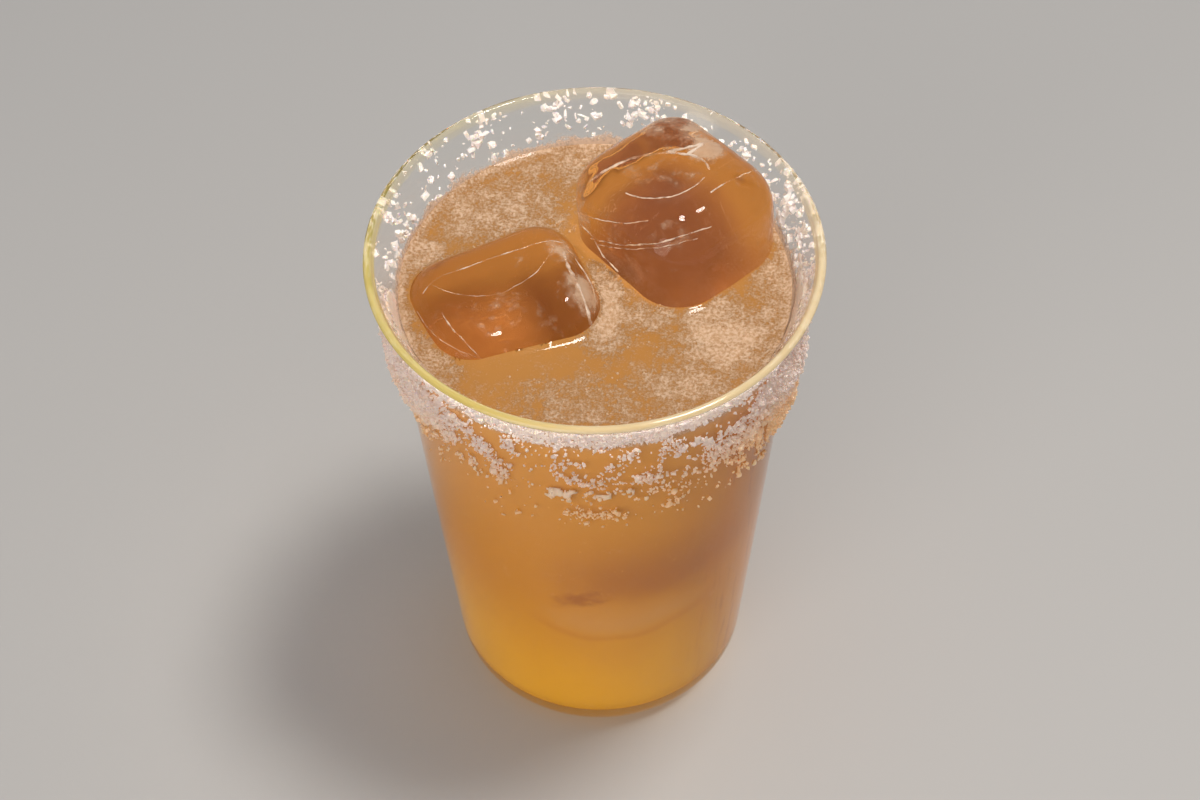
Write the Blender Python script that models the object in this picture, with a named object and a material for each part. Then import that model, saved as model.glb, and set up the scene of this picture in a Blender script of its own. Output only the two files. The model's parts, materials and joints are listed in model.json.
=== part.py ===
"""A margarita on the rocks: a thin tumbler with a flared, salted rim, the drink and two ice cubes.

The glass stands on z = 0 with its axis on the Z axis, and +X to the right as it is served.
Azimuths turn from +X towards +Y, so the drinker's side is at 270 degrees.
"""

import math
import random

import bmesh
import bpy
from mathutils import Euler, Matrix, Vector, noise

MM = 0.001

# Glass
GLASS_HEIGHT = 121.1 * MM
RIM_RADIUS = 44.0 * MM
SHOULDER_RADIUS = 39.98 * MM
FOOT_RADIUS = 30.02 * MM
BELLY = 0.18 * MM
LIP_HEIGHT = 14.0 * MM
HEEL_RADIUS = 8.7 * MM
WALL = 1.7 * MM
BEAD_HEIGHT = GLASS_HEIGHT - WALL / 2
BASE_THICKNESS = 5.0 * MM
INNER_HEEL_RADIUS = 7.4 * MM
GLASS_SIDES = 56
INNER_HEEL_STEPS = 3
OUTER_HEEL_STEPS = 4
LIP_STEPS = 5
MERGE_REACH = 0.01 * MM

# Drink
DRINK_LEVEL = 110.0 * MM
MENISCUS_RISE = 0.8 * MM
MENISCUS_WIDTH = 2.2 * MM
GAP = 0.3 * MM
MENISCUS_STEPS = (0.5, 0.8, 1.0)
DRINK_SIDES = 56

# Ice: width, depth and height of each cube, the rounding of its edges, its middle and its turn in degrees
ICE_STEPS = 8
ICE_MELT = 0.35 * MM
ICE_MELT_WAVE = 14.0 * MM
ICE_CUBES = {
    "ice_cube_right": {
        "size": Vector((30.8, 33.7, 27.4)) * MM,
        "rounding": 9.2 * MM,
        "middle": Vector((15.7, 12.9, 116.0)) * MM,
        "turn": (-3.4, -1.1, 39.2),
        "dimple": Vector((-1.5, 0.5)) * MM,
        "dimple_radius": 9.4 * MM,
        "dimple_depth": 1.5 * MM,
    },
    "ice_cube_left": {
        "size": Vector((34.9, 27.9, 31.4)) * MM,
        "rounding": 8.8 * MM,
        "middle": Vector((-16.9, -1.7, 101.0)) * MM,
        "turn": (9.5, -7.6, 20.1),
        "dimple": Vector((1.0, 1.5)) * MM,
        "dimple_radius": 12.5 * MM,
        "dimple_depth": 2.0 * MM,
    },
}

# Salt crust: patches that swell out of the wall. Azimuths in degrees, heights and thicknesses in mm.
CRUST_ARC = (172, 368)
CRUST_HEIGHTS = (80, 116)
CRUST_COLUMNS = 52
CRUST_ROWS = 11
CRUST_SUNK = 0.7 * MM
CRUST_RELIEF = 1.0
CRUST_WAVE = 3.6 * MM
CRUST_PATCHES = {
    "right": {"azimuth": 341, "spread": 27, "height": 99, "rise": 17, "thickness": 2.9},
    "left": {"azimuth": 203, "spread": 29, "height": 101, "rise": 15, "thickness": 2.5},
    "front": {"azimuth": 272, "spread": 74, "height": 110, "rise": 6, "thickness": 1.5},
}

# Salt grains: azimuths in degrees, heights and grain sizes in mm
SALT_SEED = 7
SALT_REACH = 43.8 * MM
GRAIN_SUNK = 0.3
GRAIN_SIDE = 0.78
GRAIN_CHIP = (0.8, 1.15)
GRAIN_CORNER = 0.6
BAND_RIPPLES = 13
BAND_CROWDING = 1.3
GRAIN_BANDS = {
    "right crust": {"azimuth": (322, 362), "height": (84, 114), "size": (1.9, 3.3), "count": 38},
    "left crust": {"azimuth": (182, 230), "height": (88, 114), "size": (1.7, 2.9), "count": 32},
    "front band": {"azimuth": (226, 322), "height": (102, 115), "size": (1.7, 2.8), "count": 30},
    "front loose": {"azimuth": (214, 330), "height": (84, 104), "size": (1.5, 2.3), "count": 28},
    "back loose": {"azimuth": (2, 182), "height": (104, 117), "size": (1.3, 2.1), "count": 38},
}

COLOURS = {
    "glass": (0.86, 0.88, 0.80),
    "drink": (0.58, 0.26, 0.06),
    "ice_cube_right": (0.72, 0.60, 0.48),
    "ice_cube_left": (0.72, 0.60, 0.48),
}
ROUGHNESS = {"glass": 0.05, "drink": 0.12, "ice_cube_right": 0.08, "ice_cube_left": 0.08}
SHARP_ANGLE = math.radians(40)


def outer_radius(z):
    """Radius of the glass at height z: a straight taper with a slight belly, flaring into the lip."""
    along = z / GLASS_HEIGHT
    taper = FOOT_RADIUS + (SHOULDER_RADIUS - FOOT_RADIUS) * along
    belly = 4 * BELLY * along * (1 - along)
    lip = max(0.0, 1 - (BEAD_HEIGHT - z) / LIP_HEIGHT)
    return taper + belly + (RIM_RADIUS - SHOULDER_RADIUS) * lip**2


def inner_radius(z):
    return outer_radius(z) - WALL


def heights(low, high, count):
    return [low + (high - low) * i / (count - 1) for i in range(count)]


def heel(wall, floor, radius, steps):
    """Points of the rounded corner from the wall down to the floor, at the height called floor."""
    corner = wall(floor + radius) - radius
    angles = [math.pi / 2 * i / steps for i in range(steps + 1)]
    return [(corner + radius * math.cos(a), floor + radius - radius * math.sin(a)) for a in angles]


def glass_profile():
    """(radius, height) from the middle of the inner floor up the inside, over the rim and down outside."""
    bead = WALL / 2
    lip_start = BEAD_HEIGHT - LIP_HEIGHT
    inner_heel = heel(inner_radius, BASE_THICKNESS, INNER_HEEL_RADIUS, INNER_HEEL_STEPS)
    outer_heel = heel(outer_radius, 0.0, HEEL_RADIUS, OUTER_HEEL_STEPS)
    body = heights(BASE_THICKNESS + INNER_HEEL_RADIUS, lip_start, 3)[1:]
    lip = heights(lip_start, BEAD_HEIGHT, LIP_STEPS)[1:]
    inside = [(inner_radius(z), z) for z in body + lip]
    rim = [
        (RIM_RADIUS - bead - bead * math.cos(a), BEAD_HEIGHT + bead * math.sin(a))
        for a in (math.pi * i / LIP_STEPS for i in range(1, LIP_STEPS))
    ]
    outside = [(outer_radius(z), z) for z in reversed(body + lip)]
    floor = [(0.0, BASE_THICKNESS)]
    foot = [(0.0, 0.0)]
    return floor + inner_heel[::-1] + inside + rim + outside + outer_heel + foot


def drink_profile():
    """(radius, height) from the middle of the surface out, up the meniscus and down the side to the floor."""
    reach = inner_radius(DRINK_LEVEL + MENISCUS_RISE) - GAP
    bottom = BASE_THICKNESS + GAP
    surface = [(0.0, DRINK_LEVEL), (reach / 2, DRINK_LEVEL), (reach - MENISCUS_WIDTH, DRINK_LEVEL)]
    rise = [
        (reach - MENISCUS_WIDTH * (1 - t), DRINK_LEVEL + MENISCUS_RISE * t**2) for t in MENISCUS_STEPS
    ]
    lip_start = BEAD_HEIGHT - LIP_HEIGHT
    body = [lip_start, (lip_start + bottom + INNER_HEEL_RADIUS) / 2]
    side = [(inner_radius(z) - GAP, z) for z in body]
    corner = heel(lambda z: inner_radius(z) - GAP, bottom, INNER_HEEL_RADIUS - GAP, INNER_HEEL_STEPS)
    return surface + rise + side + corner + [(0.0, bottom)]


def new_object(name, mesh):
    obj = bpy.data.objects.new(name, mesh)
    bpy.context.scene.collection.objects.link(obj)
    return obj


def bake_modifiers(obj):
    """Replaces the object's mesh by the one its modifiers make."""
    graph = bpy.context.evaluated_depsgraph_get()
    mesh = bpy.data.meshes.new_from_object(obj.evaluated_get(graph))
    obj.modifiers.clear()
    obj.data = mesh


def turned(name, profile, sides):
    """A solid turned about the Z axis from a profile that starts and ends on it."""
    mesh = bpy.data.meshes.new(name)
    points = [(radius, 0.0, height) for radius, height in profile]
    mesh.from_pydata(points, [(i, i + 1) for i in range(len(points) - 1)], [])
    obj = new_object(name, mesh)
    screw = obj.modifiers.new("turn", "SCREW")
    screw.steps = sides
    screw.render_steps = sides
    screw.use_merge_vertices = True
    screw.merge_threshold = MERGE_REACH
    bake_modifiers(obj)
    return obj


def rounded_box_point(point, half, rounding):
    """Moves a point of the cube from -1 to 1 onto a box with rounded edges, and gives its normal too."""
    at = Vector(point[i] * half[i] for i in range(3))
    inner = Vector(max(-(half[i] - rounding), min(half[i] - rounding, at[i])) for i in range(3))
    normal = (at - inner).normalized()
    return inner + normal * rounding, normal


def ice_shape(name, grow):
    """A melted ice cube, or with grow above zero the pocket that it floats in. Its top is local +Z."""
    cube = ICE_CUBES[name]
    half = cube["size"] / 2 + Vector((grow, grow, grow))
    bm = bmesh.new()
    bmesh.ops.create_cube(bm, size=2)
    bmesh.ops.subdivide_edges(bm, edges=bm.edges[:], cuts=ICE_STEPS - 1, use_grid_fill=True)
    for vert in bm.verts:
        at, normal = rounded_box_point(vert.co, half, cube["rounding"] + grow)
        melt = ICE_MELT * noise.noise(at / ICE_MELT_WAVE + cube["middle"] / ICE_MELT_WAVE)
        away = (at.xy - cube["dimple"]).length / cube["dimple_radius"]
        bowl = cube["dimple_depth"] * max(0.0, 1 - away**2) * max(0.0, normal.z) ** 2
        vert.co = at + normal * melt - Vector((0, 0, bowl))
    mesh = bpy.data.meshes.new(name)
    bm.to_mesh(mesh)
    bm.free()
    turn = Euler([math.radians(a) for a in cube["turn"]]).to_matrix().to_4x4()
    mesh.transform(Matrix.Translation(cube["middle"]) @ turn)
    return mesh


def cut_pocket(drink, name):
    """Cuts the drink round an ice cube, leaving the gap between them."""
    cutter = new_object(name + "_pocket", ice_shape(name, GAP))
    cutter.hide_render = True
    cutter.display_type = "WIRE"
    cut = drink.modifiers.new("pocket", "BOOLEAN")
    cut.operation = "DIFFERENCE"
    cut.solver = "EXACT"
    cut.object = cutter
    bake_modifiers(drink)
    bpy.data.objects.remove(cutter)


def crust_thickness(azimuth, z):
    """How far the crust stands out of the wall; below zero it is sunk in it. The azimuth is in degrees."""
    swell = -1.0
    for patch in CRUST_PATCHES.values():
        across = (azimuth - patch["azimuth"]) / patch["spread"]
        up = (z / MM - patch["height"]) / patch["rise"]
        swell = max(swell, patch["thickness"] * (1 - across**2 - up**2))
    around = math.radians(azimuth)
    at = Vector((math.cos(around), math.sin(around), 0)) * outer_radius(z) + Vector((0, 0, z))
    relief = CRUST_RELIEF * noise.noise(at / CRUST_WAVE)
    return max(-CRUST_SUNK / 2, (swell + relief) * MM)


def crust_mesh():
    """A curved slab along the front of the wall: its outer face follows the crust, the rest is in the wall."""
    azimuths = heights(*CRUST_ARC, CRUST_COLUMNS)
    levels = [z * MM for z in heights(*CRUST_HEIGHTS, CRUST_ROWS)]
    bm = bmesh.new()
    grids = []
    for inside in (False, True):
        grid = []
        for azimuth in azimuths:
            turn = Matrix.Rotation(math.radians(azimuth), 4, "Z")
            column = []
            for z in levels:
                out = min(outer_radius(z) + crust_thickness(azimuth, z), SALT_REACH)
                if inside:
                    out = outer_radius(z) - CRUST_SUNK
                column.append(bm.verts.new(turn @ Vector((out, 0, z))))
            grid.append(column)
        grids.append(grid)
    outer, inner = grids
    for i in range(CRUST_COLUMNS - 1):
        for j in range(CRUST_ROWS - 1):
            bm.faces.new((outer[i][j], outer[i + 1][j], outer[i + 1][j + 1], outer[i][j + 1]))
            bm.faces.new((inner[i][j], inner[i][j + 1], inner[i + 1][j + 1], inner[i + 1][j]))
    rim = [(i, 0) for i in range(CRUST_COLUMNS)]
    rim += [(CRUST_COLUMNS - 1, j) for j in range(1, CRUST_ROWS)]
    rim += [(i, CRUST_ROWS - 1) for i in reversed(range(CRUST_COLUMNS - 1))]
    rim += [(0, j) for j in reversed(range(1, CRUST_ROWS - 1))]
    for (i, j), (k, m) in zip(rim, rim[1:] + rim[:1]):
        bm.faces.new((outer[i][j], inner[i][j], inner[k][m], outer[k][m]))
    bmesh.ops.triangulate(bm, faces=bm.faces[:])
    mesh = bpy.data.meshes.new("crust")
    bm.to_mesh(mesh)
    bm.free()
    return mesh


def grain_mesh(size, draw):
    """A crystal of salt about that wide: a cube with its corners moved in and out."""
    bm = bmesh.new()
    bmesh.ops.create_cube(bm, size=size * GRAIN_SIDE)
    for vert in bm.verts:
        vert.co *= draw.uniform(*GRAIN_CHIP)
    mesh = bpy.data.meshes.new("grain")
    bm.to_mesh(mesh)
    bm.free()
    return mesh


def place_grain(azimuth, z, size, draw):
    """A grain on the crust or the wall, turned at random and sunk a little, or none where the rim is in reach."""
    out = outer_radius(z) + max(0.0, crust_thickness(azimuth, z)) + size * (0.5 - GRAIN_SUNK)
    if out + size * GRAIN_CORNER > SALT_REACH:
        return None
    turn = Euler([draw.uniform(0, math.tau) for _ in range(3)]).to_matrix().to_4x4()
    mesh = grain_mesh(size, draw)
    mesh.transform(Matrix.Rotation(math.radians(azimuth), 4, "Z") @ Matrix.Translation((out, 0, z)) @ turn)
    return mesh


def band_depth(band, azimuth):
    """How much of the band's height holds grains at this azimuth: less at its ends, and uneven between."""
    start, end = band["azimuth"]
    share = (azimuth - start) / (end - start)
    ends = min(1.0, 4 * share, 4 * (1 - share))
    return (0.4 + 0.6 * ends) * (0.75 + 0.25 * math.sin(math.radians(azimuth) * BAND_RIPPLES))


def salt_grains():
    """The grains of every band, each a mesh, spread evenly by azimuth with the heights drawn at random."""
    draw = random.Random(SALT_SEED)
    grains = []
    for band in GRAIN_BANDS.values():
        start, end = band["azimuth"]
        low, high = band["height"]
        for i in range(band["count"]):
            azimuth = start + (end - start) * (i + draw.random()) / band["count"]
            size = draw.uniform(*band["size"]) * MM
            depth = (high - low) * band_depth(band, azimuth) * draw.random() ** BAND_CROWDING
            grain = place_grain(azimuth, (high - depth) * MM, size, draw)
            if grain is not None:
                grains.append(grain)
    return grains


def fuse_salt(glass):
    """Joins the crust and the grains to the glass in one union."""
    salt = bpy.data.collections.new("salt")
    bpy.context.scene.collection.children.link(salt)
    for mesh in [crust_mesh()] + salt_grains():
        salt.objects.link(bpy.data.objects.new("grain", mesh))
    union = glass.modifiers.new("salt", "BOOLEAN")
    union.operation = "UNION"
    union.operand_type = "COLLECTION"
    union.collection = salt
    union.solver = "MANIFOLD"
    bpy.context.view_layer.update()
    bake_modifiers(glass)
    for grain in list(salt.objects):
        bpy.data.objects.remove(grain)
    bpy.data.collections.remove(salt)


def keep_largest_shell(obj):
    """Drops every loose scrap and sealed hollow that a union left."""
    bm = bmesh.new()
    bm.from_mesh(obj.data)
    left = set(bm.verts)
    shells = []
    while left:
        shell = {left.pop()}
        front = list(shell)
        while front:
            for edge in front.pop().link_edges:
                for vert in edge.verts:
                    if vert in left:
                        left.remove(vert)
                        shell.add(vert)
                        front.append(vert)
        shells.append(shell)
    largest = max(shells, key=len)
    spare = [vert for vert in bm.verts if vert not in largest]
    bmesh.ops.delete(bm, geom=spare, context="VERTS")
    bmesh.ops.triangulate(bm, faces=bm.faces[:])
    bm.to_mesh(obj.data)
    bm.free()


def finish(obj):
    """Gives the object its material, smooth with its corners sharp."""
    material = bpy.data.materials.new(obj.name)
    material.use_nodes = True
    shader = material.node_tree.nodes["Principled BSDF"]
    shader.inputs["Base Color"].default_value = (*COLOURS[obj.name], 1.0)
    shader.inputs["Roughness"].default_value = ROUGHNESS[obj.name]
    shader.inputs["Metallic"].default_value = 0.0
    obj.data.materials.clear()
    obj.data.materials.append(material)
    obj.data.shade_smooth()
    obj.data.set_sharp_from_angle(angle=SHARP_ANGLE)


def clear_scene():
    for obj in list(bpy.data.objects):
        bpy.data.objects.remove(obj)


def main():
    clear_scene()
    glass = turned("glass", glass_profile(), GLASS_SIDES)
    fuse_salt(glass)
    keep_largest_shell(glass)
    finish(glass)
    drink = turned("drink", drink_profile(), DRINK_SIDES)
    for name in ICE_CUBES:
        cut_pocket(drink, name)
    keep_largest_shell(drink)
    finish(drink)
    for name in ICE_CUBES:
        finish(new_object(name, ice_shape(name, 0.0)))


main()
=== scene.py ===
# %% [markdown]
# # A margarita in a salt-rimmed tumbler
#
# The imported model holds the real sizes: the glass with its salt, the drink and two ice cubes. Here each
# one gets its looks. The frame is loaded first, because every piece below is placed by it, in metres,
# with the glass standing on z = 0 and its axis on the Z axis.
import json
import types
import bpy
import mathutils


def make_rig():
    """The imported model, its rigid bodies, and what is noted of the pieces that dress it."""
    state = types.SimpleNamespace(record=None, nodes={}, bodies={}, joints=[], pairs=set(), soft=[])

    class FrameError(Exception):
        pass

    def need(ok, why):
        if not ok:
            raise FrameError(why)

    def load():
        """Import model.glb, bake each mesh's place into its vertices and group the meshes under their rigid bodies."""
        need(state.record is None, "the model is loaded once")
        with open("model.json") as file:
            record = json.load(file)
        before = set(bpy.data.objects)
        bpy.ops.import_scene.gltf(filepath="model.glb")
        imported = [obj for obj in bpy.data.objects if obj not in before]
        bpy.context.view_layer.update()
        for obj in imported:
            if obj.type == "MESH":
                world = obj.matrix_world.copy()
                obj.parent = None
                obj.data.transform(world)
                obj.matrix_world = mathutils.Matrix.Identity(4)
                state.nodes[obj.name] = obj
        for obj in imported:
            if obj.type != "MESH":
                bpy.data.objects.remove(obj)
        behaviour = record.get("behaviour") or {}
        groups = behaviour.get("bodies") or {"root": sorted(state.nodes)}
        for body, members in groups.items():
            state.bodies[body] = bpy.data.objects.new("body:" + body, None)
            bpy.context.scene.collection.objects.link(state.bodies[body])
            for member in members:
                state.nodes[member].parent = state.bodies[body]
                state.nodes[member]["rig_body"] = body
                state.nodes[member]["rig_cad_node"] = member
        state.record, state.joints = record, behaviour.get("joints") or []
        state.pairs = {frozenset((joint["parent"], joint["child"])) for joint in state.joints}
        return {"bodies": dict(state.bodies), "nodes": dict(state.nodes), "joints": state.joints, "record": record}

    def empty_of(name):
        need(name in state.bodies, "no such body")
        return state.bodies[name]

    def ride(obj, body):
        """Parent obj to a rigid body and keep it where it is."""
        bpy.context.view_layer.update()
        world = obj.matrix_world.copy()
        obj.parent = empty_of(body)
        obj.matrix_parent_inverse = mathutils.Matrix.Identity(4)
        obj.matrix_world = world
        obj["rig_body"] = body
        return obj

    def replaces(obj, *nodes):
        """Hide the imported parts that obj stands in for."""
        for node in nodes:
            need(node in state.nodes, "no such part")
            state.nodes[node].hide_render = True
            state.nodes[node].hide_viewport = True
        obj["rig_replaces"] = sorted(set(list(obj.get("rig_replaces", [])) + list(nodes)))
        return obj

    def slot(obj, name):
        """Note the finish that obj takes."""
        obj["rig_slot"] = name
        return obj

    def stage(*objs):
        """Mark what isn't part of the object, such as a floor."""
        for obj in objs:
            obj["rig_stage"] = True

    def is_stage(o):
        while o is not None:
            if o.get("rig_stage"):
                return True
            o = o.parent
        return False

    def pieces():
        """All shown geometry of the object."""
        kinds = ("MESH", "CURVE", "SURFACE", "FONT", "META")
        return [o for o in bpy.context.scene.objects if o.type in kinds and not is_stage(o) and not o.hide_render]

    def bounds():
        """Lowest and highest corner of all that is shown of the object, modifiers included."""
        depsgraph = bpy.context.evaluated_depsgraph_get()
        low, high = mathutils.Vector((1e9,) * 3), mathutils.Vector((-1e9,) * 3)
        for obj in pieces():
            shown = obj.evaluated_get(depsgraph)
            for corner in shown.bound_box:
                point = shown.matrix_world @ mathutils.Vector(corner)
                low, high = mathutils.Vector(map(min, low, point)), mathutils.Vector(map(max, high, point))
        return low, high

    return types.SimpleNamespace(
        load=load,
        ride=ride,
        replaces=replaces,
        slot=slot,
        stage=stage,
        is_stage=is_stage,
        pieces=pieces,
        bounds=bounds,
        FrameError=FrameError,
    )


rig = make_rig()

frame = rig.load()
cad_box = [list(corner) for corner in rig.bounds()]
print("CAD box", cad_box)

# %% Blender's modules
import json
import math

import bmesh
import bpy
import numpy as np
from mathutils import Euler, Matrix, Vector, noise

MM = 0.001
bpy.context.scene.view_settings.view_transform = "Standard"
print("Blender", bpy.app.version_string)

# %% [markdown]
# ## The turned shapes
#
# A tumbler, and the drink in it, are shapes turned about one axis. So a single rule gives the glass's
# radius at any height, and everything that touches the glass asks that rule: the inner wall, the drink,
# the froth and every grain of salt.

# %% Sizes of the glass
GLASS_HEIGHT = 121.1 * MM
RIM_RADIUS = 43.93 * MM
SHOULDER_RADIUS = 39.98 * MM
FOOT_RADIUS = 30.02 * MM
BELLY = 0.18 * MM
LIP_HEIGHT = 14.0 * MM
HEEL_RADIUS = 8.7 * MM
WALL = 1.7 * MM
BEAD_HEIGHT = GLASS_HEIGHT - WALL / 2
BASE_THICKNESS = 5.0 * MM
INNER_HEEL_RADIUS = 7.4 * MM
DRINK_LEVEL = 110.0 * MM


def outer_radius(z):
    """Radius of the glass at height z: a straight taper with a slight belly, flaring into the lip."""
    along = z / GLASS_HEIGHT
    taper = FOOT_RADIUS + (SHOULDER_RADIUS - FOOT_RADIUS) * along
    belly = 4 * BELLY * along * (1 - along)
    lip = max(0.0, 1 - (BEAD_HEIGHT - z) / LIP_HEIGHT)
    return taper + belly + (RIM_RADIUS - SHOULDER_RADIUS) * lip**2


def inner_radius(z):
    return outer_radius(z) - WALL


def heights(low, high, count):
    return [low + (high - low) * i / (count - 1) for i in range(count)]


def heel(wall, floor, radius, steps):
    """Points of the rounded corner from the wall down to the floor."""
    corner = wall(floor + radius) - radius
    angles = [math.pi / 2 * i / steps for i in range(steps + 1)]
    return [(corner + radius * math.cos(a), floor + radius - radius * math.sin(a)) for a in angles]


print("rim", 2 * outer_radius(BEAD_HEIGHT) / MM, "mm across")
print("drink", 2 * inner_radius(DRINK_LEVEL) / MM, "mm across")


# %% Objects and meshes
def new_object(name, data):
    """An object in the scene from a mesh, a light or a camera."""
    obj = bpy.data.objects.new(name, data)
    bpy.context.scene.collection.objects.link(obj)
    return obj


def mesh_from(name, bm):
    mesh = bpy.data.meshes.new(name)
    bm.to_mesh(mesh)
    bm.free()
    return mesh


def note(mesh, name, values):
    """Writes a number on every point of a mesh, for a finish or a tree to read."""
    mesh.attributes.new(name, "FLOAT", "POINT").data.foreach_set("value", values)


def turned_points(section, sides):
    """A ring of points round the axis for each (radius, height) of a section."""
    angles = [math.tau * k / sides for k in range(sides)]
    return [(radius * math.cos(a), radius * math.sin(a), z) for radius, z in section for a in angles]


print("three places round a circle", turned_points([(1.0, 0.0)], 3))


# %% Turned solids
def turned(name, profile, sides):
    """A solid turned from (radius, height) points that start and end on the axis, the outer side last."""
    rings = profile[1:-1]
    ends = [(0.0, 0.0, height) for radius, height in (profile[0], profile[-1])]
    points = [ends[0]] + turned_points(rings, sides) + [ends[1]]
    last = len(points) - 1
    faces = []
    for k in range(sides):
        m = (k + 1) % sides
        faces.append((0, 1 + k, 1 + m))
        for ring in range(len(rings) - 1):
            a = 1 + ring * sides
            b = a + sides
            faces.append((a + k, b + k, b + m, a + m))
        faces.append((last, last - sides + m, last - sides + k))
    mesh = bpy.data.meshes.new(name)
    mesh.from_pydata(points, [], faces)
    mesh.shade_smooth()
    return new_object(name, mesh)


# %% [markdown]
# ## A small language for materials
#
# Every finish here is worked out from a place on the piece, with noise and a little arithmetic. Written
# as nodes that would be long, so one class wraps a socket and gives it Python's operators, a second adds
# a node from its type, its settings and its sockets, and a third holds a material.

# %% A value on its way
class Value:
    """A number on its way through a material, which Python's operators work on."""

    def __init__(self, recipe, socket):
        self.recipe = recipe
        self.socket = socket

    def __add__(self, other):
        return self.recipe.maths("ADD", self, other)

    def __sub__(self, other):
        return self.recipe.maths("SUBTRACT", self, other)

    def __rsub__(self, other):
        return self.recipe.maths("SUBTRACT", other, self)

    def __mul__(self, other):
        return self.recipe.maths("MULTIPLY", self, other)

    __radd__ = __add__
    __rmul__ = __mul__


# %% Nodes in a tree
class Nodes:
    """A tree of nodes, and a method that adds one from its type, its settings and its sockets."""

    def __init__(self, tree):
        self.tree = tree

    def feed(self, socket, value):
        """Sets a socket's constant, or links another socket to it, or each one in a list."""
        for item in value if isinstance(value, list) else [value]:
            source = item.socket if isinstance(item, Value) else item
            if isinstance(source, bpy.types.NodeSocket):
                self.tree.links.new(source, socket)
            else:
                socket.default_value = source

    def add(self, kind, settings=None, sockets=None):
        """Adds a node of that type. Its settings come first, because they change its sockets."""
        node = self.tree.nodes.new(kind)
        for name, value in (settings or {}).items():
            setattr(node, name, value)
        for name, value in (sockets or {}).items():
            self.feed(node.inputs[name], value)
        return node


# %% A recipe for a material
def grey(strength):
    return (strength, strength, strength, 1)


class Recipe(Nodes):
    """A material with one Principled shader, whose constants are set directly on its sockets."""

    def __init__(self, name, constants):
        self.material = bpy.data.materials.new(name)
        self.material.use_nodes = True
        super().__init__(self.material.node_tree)
        self.shader = self.tree.nodes["Principled BSDF"]
        self.surface = self.shader.outputs[0]
        for socket, value in constants.items():
            self.feed(self.shader.inputs[socket], value)
        self.place = self.value("ShaderNodeTexCoord", output="Object")

    def value(self, kind, settings=None, sockets=None, output=0):
        return Value(self, self.add(kind, settings, sockets).outputs[output])

    def maths(self, operation, *operands):
        return self.value("ShaderNodeMath", {"operation": operation}, dict(enumerate(operands)))

    def noise(self, size, detail=3.0, roughness=0.55, place=None):
        """Cloudy noise around 0.5, with lumps about that size."""
        sockets = {"Vector": place or self.place, "Scale": 1 / size}
        sockets.update({"Detail": detail, "Roughness": roughness})
        return self.value("ShaderNodeTexNoise", None, sockets)

    def ramp(self, value, low, high):
        """0 below low and 1 above high, smooth between."""
        settings = {"interpolation_type": "SMOOTHSTEP"}
        sockets = {"Value": value, "From Min": low, "From Max": high}
        return self.value("ShaderNodeMapRange", settings, sockets)

    def axis(self, name):
        return self.value("ShaderNodeSeparateXYZ", None, {"Vector": self.place}, output=name)

    def attribute(self, name):
        return self.value("ShaderNodeAttribute", {"attribute_name": name}, output="Fac")

    def blend(self, factor, colour, other):
        """A colour between two: the first where the factor is 0."""
        settings = {"data_type": "RGBA", "clamp_factor": True}
        return self.value("ShaderNodeMix", settings, {"Factor": factor, 6: colour, 7: other}, output=2)

    def tinted(self, colour, other):
        """The product of two colours."""
        settings = {"data_type": "RGBA", "blend_type": "MULTIPLY"}
        return self.value("ShaderNodeMix", settings, {"Factor": 1.0, 6: colour, 7: other}, output=2)

    def bump(self, height, distance):
        sockets = {"Height": height, "Distance": distance, "Strength": 1.0}
        self.feed(self.shader.inputs["Normal"], self.value("ShaderNodeBump", None, sockets))

    def stretched(self, scale):
        """The place on the piece, with each axis multiplied, for streaks."""
        return self.value("ShaderNodeMapping", None, {"Vector": self.place, "Scale": scale})

    def over(self, factor, constants):
        """Lays a second shader over the first where the factor is 1, and gives its node."""
        other = self.add("ShaderNodeBsdfPrincipled", None, constants)
        mix = self.add("ShaderNodeMixShader", None, {0: factor, 1: self.surface, 2: other.outputs[0]})
        self.surface = mix.outputs[0]
        self.feed(self.tree.nodes["Material Output"].inputs["Surface"], self.surface)
        return other

    def finish(self, **links):
        for name, value in links.items():
            self.feed(self.shader.inputs[name.replace("_", " ").title()], value)
        return self.material


# %% [markdown]
# ## The tumbler
#
# The real glass is one thin wall, thicker at the foot, with a rounded bead for a lip. Its profile runs up
# the inside, over the bead and down the outside. It is fine enough that its edge looks round up close.
# A Screw modifier could turn it too, but points and faces worked out in a loop close the poles exactly.

# %% Glass shape
GLASS_SIDES = 192
INNER_HEEL_STEPS = 10
OUTER_HEEL_STEPS = 12
BODY_STEPS = 10
LIP_STEPS = 12


def glass_profile():
    """Half of a section through the glass, from the middle of its floor to the middle of its foot."""
    bead = WALL / 2
    lip_start = BEAD_HEIGHT - LIP_HEIGHT
    inner_heel = heel(inner_radius, BASE_THICKNESS, INNER_HEEL_RADIUS, INNER_HEEL_STEPS)
    outer_heel = heel(outer_radius, 0.0, HEEL_RADIUS, OUTER_HEEL_STEPS)
    body = heights(BASE_THICKNESS + INNER_HEEL_RADIUS, lip_start, BODY_STEPS)[1:]
    lip = heights(lip_start, BEAD_HEIGHT, LIP_STEPS)[1:]
    inside = [(inner_radius(z), z) for z in body + lip]
    angles = [math.pi * i / LIP_STEPS for i in range(1, LIP_STEPS)]
    rim = [(RIM_RADIUS - bead - bead * math.cos(a), BEAD_HEIGHT + bead * math.sin(a)) for a in angles]
    outside = [(outer_radius(z), z) for z in reversed(body + lip)]
    return [(0.0, BASE_THICKNESS)] + inner_heel[::-1] + inside + rim + outside + outer_heel + [(0.0, 0.0)]


tumbler = turned("tumbler", glass_profile(), GLASS_SIDES)
print("tumbler", len(tumbler.data.polygons), "faces")


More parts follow.
